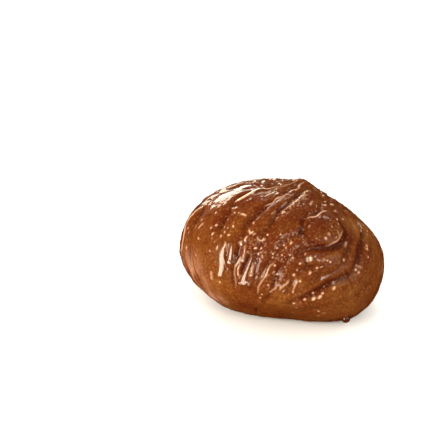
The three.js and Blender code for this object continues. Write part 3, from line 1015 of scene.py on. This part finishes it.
# pale cream on threads, beads, crests, grain tops and the frosted crest: partly dried sugar, partly
# painted highlight
sugar_and_highlight = np.maximum(thread_sugar_and_highlight, bead_sugar_and_highlight) + CREST_PALE * crumpled * crests * (1 - in_view)
sugar_and_highlight += GRAIN_PALE * grainy * smoothstep(grain_shape, *GRAIN_TOP)
sugar_and_highlight += FROST_PALE * frosted * smoothstep(grain_shape, *FROST_TOP)
store(nut, "sugar_and_highlight", np.clip(sugar_and_highlight, 0, MOST_PALE))
print("pale sugar covers", round(100 * np.mean(sugar_and_highlight > 0.5), 1), "%")

# %% Wet and dry glaze
DRY = 0.55                         # share of the full glaze between the runs
THREAD_WET, BEAD_WET = 0.10, 0.08  # heights from which the glaze is full
GRAINY_DULL, DULL_WIDTH = 0.5, 0.6
# picture points along the lines where the glaze is nearly dull
DULL_LINES = {
    "below the frosted crest": [(256, 220), (264, 213), (270, 208), (280, 200.5), (291, 191.5)],
    "below the first line": [(241, 200), (248, 196.5), (256, 194.5), (264, 193), (271, 191), (279, 189)],
    "down the pod": [(283, 260), (282, 267), (281, 274)],
}

dull = np.max([ridge(line, DULL_WIDTH) for line in DULL_LINES.values()]
              + [GRAINY_DULL * nearness(ball, GRAINY_PLACES)], axis=0)
thick = np.clip(run_fill + threaded / THREAD_WET + beads / BEAD_WET, 0, 1)
store(nut, "wet", DRY + (1 - DRY) * thick - DRY * dull)
print("the glaze is full on", round(100 * np.mean(thick > 0.9)), "% of the nut")

# %% Streaks along the folds, and the drop
STREAK_LENGTH, STREAK_WIDTH = 24, 0.5
DROP_FACTS = {"fold_syrup_and_shade": 0.7, "wet": 1.0}  # the drop is deep syrup all through

across = len(furrows) / (2 * np.pi * STREAK_WIDTH)
streak = np.stack([colatitude / STREAK_LENGTH, across * np.cos(turn), across * np.sin(turn)], 1)
store(nut, "streak_place", streak, "FLOAT_VECTOR", "vector")
for name, value in DROP_FACTS.items():
    store(drop, name, np.full(len(drop_ball), value))
print("stored:", ", ".join(a.name for a in nut.data.attributes if not a.name.startswith(".")))

# %% [markdown]
# ## The glazed flesh
#
# Candied flesh is a translucent reddish brown, more amber where it is thin or sugary and
# deeper red down in the folds, where the syrup is deep; that deep red is also painted shade
# in the folds. Over it lies a clear glaze. The Principled shader has a layer for each:
# subsurface light for the flesh, and a smooth coat for the glaze. The colour comes from
# noise in several sizes and from the facts that were stored on the mesh. Some of it is
# painted light: the amber of the left cheek and of a few places on the right, a pale
# pinkish patch low on the left as a painted reflection of the floor, and pale cream
# painted highlights on threads, beads, crests and grain tops, which are partly dried sugar.

# %% Small helpers for nodes
material = bpy.data.materials.new("glazed_nut")
material.use_nodes = True
nodes, links = material.node_tree.nodes, material.node_tree.links
shader = nodes["Principled BSDF"]
on_nut = nodes.new("ShaderNodeTexCoord").outputs["Object"]


def noise_node(scale, detail=3.0, where=on_nut):
    made = nodes.new("ShaderNodeTexNoise")
    made.inputs["Scale"].default_value = scale
    made.inputs["Detail"].default_value = detail
    links.new(where, made.inputs["Vector"])
    return made.outputs["Fac"]


def spread(value, low, high, to_low=0.0, to_high=1.0):
    """Stretch a value so that low becomes 0 and high becomes 1, or two other numbers."""
    made = nodes.new("ShaderNodeMapRange")
    for name, number in (("From Min", low), ("From Max", high), ("To Min", to_low), ("To Max", to_high)):
        made.inputs[name].default_value = number
    links.new(value, made.inputs["Value"])
    return made.outputs["Result"]


def times(first, second):
    made = nodes.new("ShaderNodeMath")
    made.operation = "MULTIPLY"
    links.new(first, made.inputs[0])
    links.new(second, made.inputs[1])
    return made.outputs["Value"]


def blend(factor, first, second):
    """Mix two colours; each is a socket or a plain colour."""
    made = nodes.new("ShaderNodeMix")
    made.data_type = "RGBA"
    links.new(factor, made.inputs["Factor"])
    for name, colour in (("A", first), ("B", second)):
        socket = [s for s in made.inputs if s.name == name and s.type == "RGBA"][0]
        if isinstance(colour, tuple):
            socket.default_value = (*colour, 1)
        else:
            links.new(colour, socket)
    return [s for s in made.outputs if s.type == "RGBA"][0]


def stored(name, kind="Fac"):
    made = nodes.new("ShaderNodeAttribute")
    made.attribute_name = name
    return made.outputs[kind]


def layer(under, colour, mask, starts=0.0, full=1.0, strength=1.0, only_at=None):
    """Lay a colour over another from where a mask starts to where it is full."""
    share = spread(mask, starts, full, 0, strength)
    if only_at:
        share = times(stored(only_at), share)
    return blend(share, under, colour)


# %% Colours
RED_BROWN = (0.080, 0.0120, 0.0020)
BROWN = (0.084, 0.0156, 0.0024)
AMBER_TONE_AND_PAINTED_LIGHT = (0.124, 0.0330, 0.0036)
OCHRE = (0.152, 0.0490, 0.0075)
FOLD_RED_AND_SHADE = (0.048, 0.0056, 0.0009)
FILM_AND_FLOOR_REFLECTION = (0.420, 0.2050, 0.1250)
CREAM_SUGAR_AND_HIGHLIGHT = (0.700, 0.4100, 0.2400)
FLECK = (0.270, 0.1150, 0.0350)
DARK_FLECK = (0.060, 0.0085, 0.0014)

clouds, spots = noise_node(scale=150), noise_node(scale=900, detail=4.0)
mottle, flecks = noise_node(scale=420, detail=4.0), noise_node(scale=2100, detail=2.0)
streaks = noise_node(scale=1.0, detail=4.0, where=stored("streak_place", "Vector"))
flesh = layer(BROWN, AMBER_TONE_AND_PAINTED_LIGHT, clouds, starts=0.40, full=0.75, strength=0.6)
# painted light with the flesh's own tone: more amber on the lit left cheek and on places on the right
flesh = layer(flesh, AMBER_TONE_AND_PAINTED_LIGHT, stored("amber_and_painted_light"), strength=0.9)
flesh = layer(flesh, RED_BROWN, spots, starts=0.52, full=0.75)
flesh = layer(flesh, OCHRE, streaks, starts=0.52, full=0.72, strength=0.55)
flesh = layer(flesh, RED_BROWN, streaks, starts=0.46, full=0.30, strength=0.8)
flesh = layer(flesh, OCHRE, mottle, starts=0.38, full=0.58, only_at="ochre")
flesh = layer(flesh, RED_BROWN, mottle, starts=0.62, full=0.40, only_at="red")
# painted reflection of the floor with a matt film: pale pink streaks low on the left
flesh = layer(flesh, FILM_AND_FLOOR_REFLECTION, streaks, starts=0.40, full=0.60, only_at="film_and_floor_reflection")
# painted shade with deeper syrup: the folds darkened towards deep red
flesh = layer(flesh, FOLD_RED_AND_SHADE, stored("fold_syrup_and_shade"), starts=0.12, full=0.8, strength=0.92)
flesh = layer(flesh, DARK_FLECK, flecks, starts=0.48, full=0.30, strength=0.55)
flesh = layer(flesh, FLECK, flecks, starts=0.54, full=0.76, strength=0.4)
# painted highlights and pale sugar, laid over all the rest
flesh = layer(flesh, CREAM_SUGAR_AND_HIGHLIGHT, stored("sugar_and_highlight"))
links.new(flesh, shader.inputs["Base Color"])
print("the colour takes", len(nodes), "nodes")

# %% [markdown]
# ## Roughness and small bumps
#
# The glaze isn't even. On the right the syrup has soaked in and left the flesh nearly
# matt, and elsewhere it stands wet. A mask turns the coat down and the roughness up
# there. Bumps much finer than the net, of a few hundredths of a millimetre, break up the
# edges of the highlights.

# %% Flesh and glaze
FINISH = {
    "Coat Roughness": 0.08,
    "Coat IOR": 1.55,
    "IOR": 1.42,
    "Specular IOR Level": 0.05,
    "Subsurface Weight": 0.5,
    "Subsurface Radius": (1.0, 0.32, 0.12),
    "Subsurface Scale": 0.6 * MM,
}
WET_ROUGHNESS, MATT_ROUGHNESS = 0.34, 0.55
WET_COAT, MATT_COAT = 1.0, 0.30
MATT_EDGE, MATT_LEAST = (0.30, 0.55), 0.6  # and the share of the mask left between its mottles
BUMP_DEPTH, BUMP_STRENGTH = 0.05 * MM, 0.6

for socket, value in FINISH.items():
    shader.inputs[socket].default_value = value
matt = times(stored("matt"), spread(mottle, *MATT_EDGE, MATT_LEAST, 1.0))
coat = times(stored("wet"), spread(matt, 0, 1, WET_COAT, MATT_COAT))
links.new(spread(matt, 0, 1, WET_ROUGHNESS, MATT_ROUGHNESS), shader.inputs["Roughness"])
links.new(coat, shader.inputs["Coat Weight"])

bump = nodes.new("ShaderNodeBump")
bump.inputs["Distance"].default_value = BUMP_DEPTH
bump.inputs["Strength"].default_value = BUMP_STRENGTH
links.new(noise_node(scale=2600), bump.inputs["Height"])
links.new(bump.outputs["Normal"], shader.inputs["Normal"])
for piece in (nut, drop):
    piece.data.materials.append(material)
print("finished", nut.name, "and", drop.name)

# %% [markdown]
# ## Hand the pieces over
#
# The nut and its drop are one thing that never moves, so both ride on the same body, and
# together they take the place of the imported solid. They share one material, because
# the drop is the same syrup as the glaze.

# %% Tie the pieces to the frame
for piece in (nut, drop):
    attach(piece, "root")
    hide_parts(NODE)
    print(piece.name, "has", len(piece.data.polygons), "squares")
